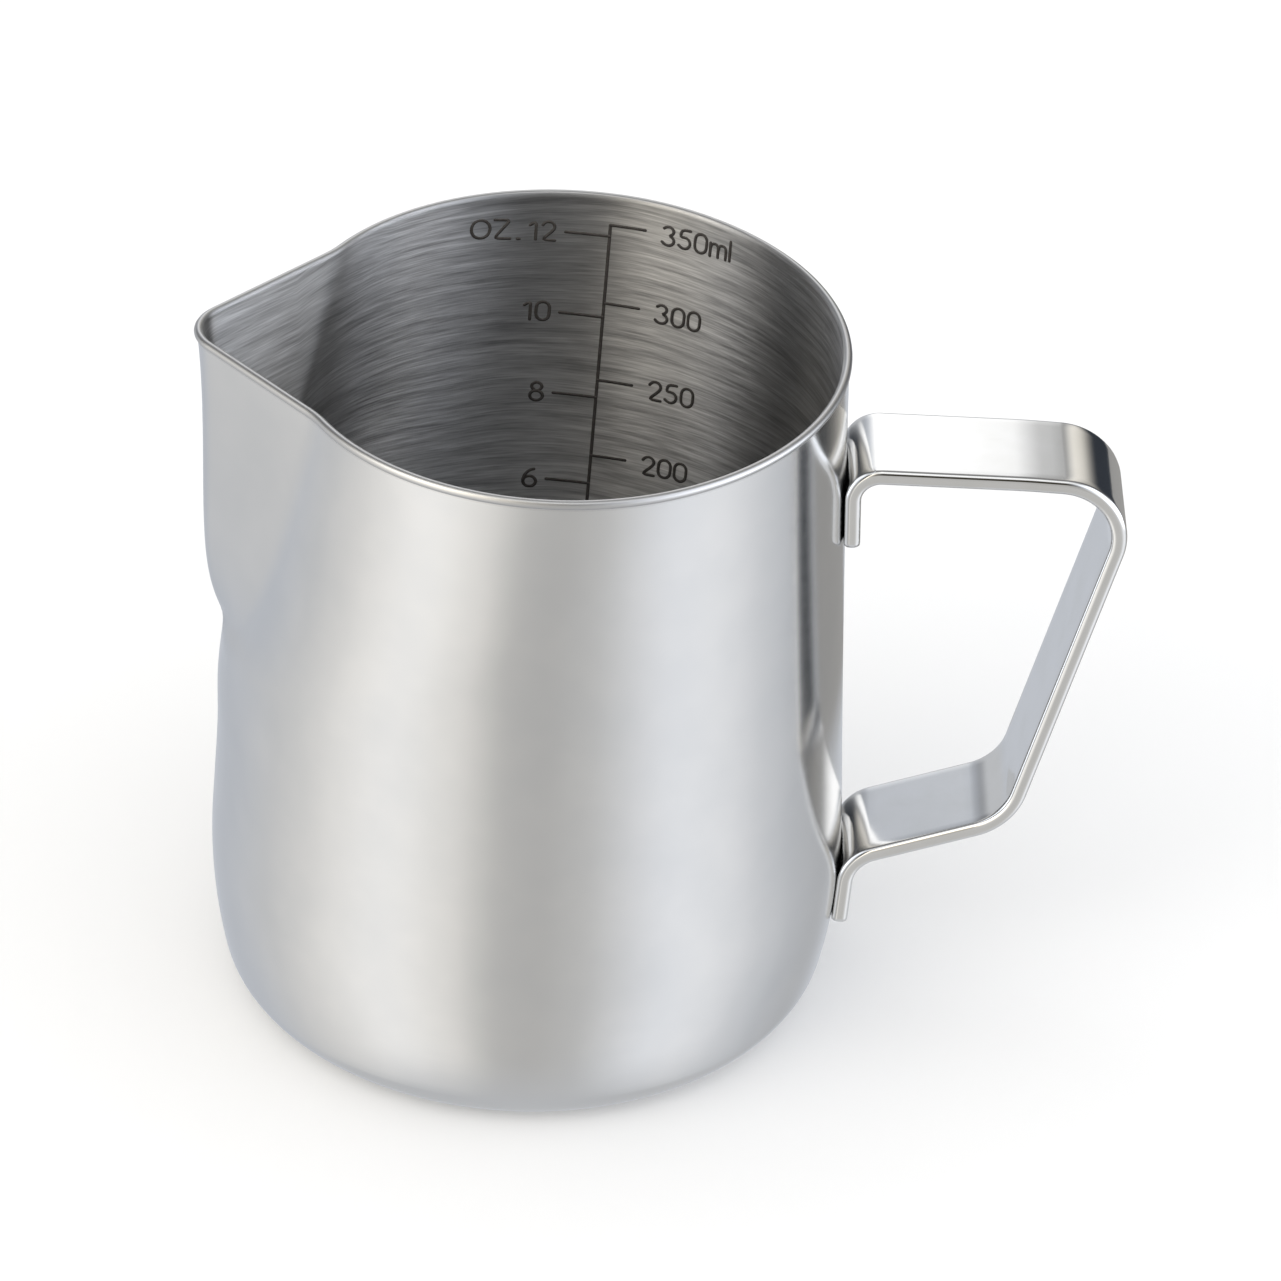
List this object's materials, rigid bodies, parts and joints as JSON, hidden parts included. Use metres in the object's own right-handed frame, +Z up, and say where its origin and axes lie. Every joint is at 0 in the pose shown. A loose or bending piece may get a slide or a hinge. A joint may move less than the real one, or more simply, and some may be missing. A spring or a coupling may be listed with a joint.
{
  "type": "milk frothing pitcher",
  "caption": "Pressed stainless steel pitcher with a pouring spout, rolled rim, inside volume scale and a welded strip handle, for steaming and pouring milk.",
  "frame": {"origin": "centre of the round standing plane", "axes": "+Z up, +X towards the handle, -X towards the spout, symmetric about the XZ plane"},
  "size_m": [0.1123, 0.079, 0.0895],
  "materials": {
    "cup_steel": "satin polished outside, brushed around the inside",
    "handle_steel": "bright polished stainless steel",
    "weld_steel": "dull pressed weld mark"
  },
  "bodies": {
    "root": {"body_shell": "cup_steel", "handle": "handle_steel", "spot_welds": "weld_steel"}
  },
  "joints": []
}
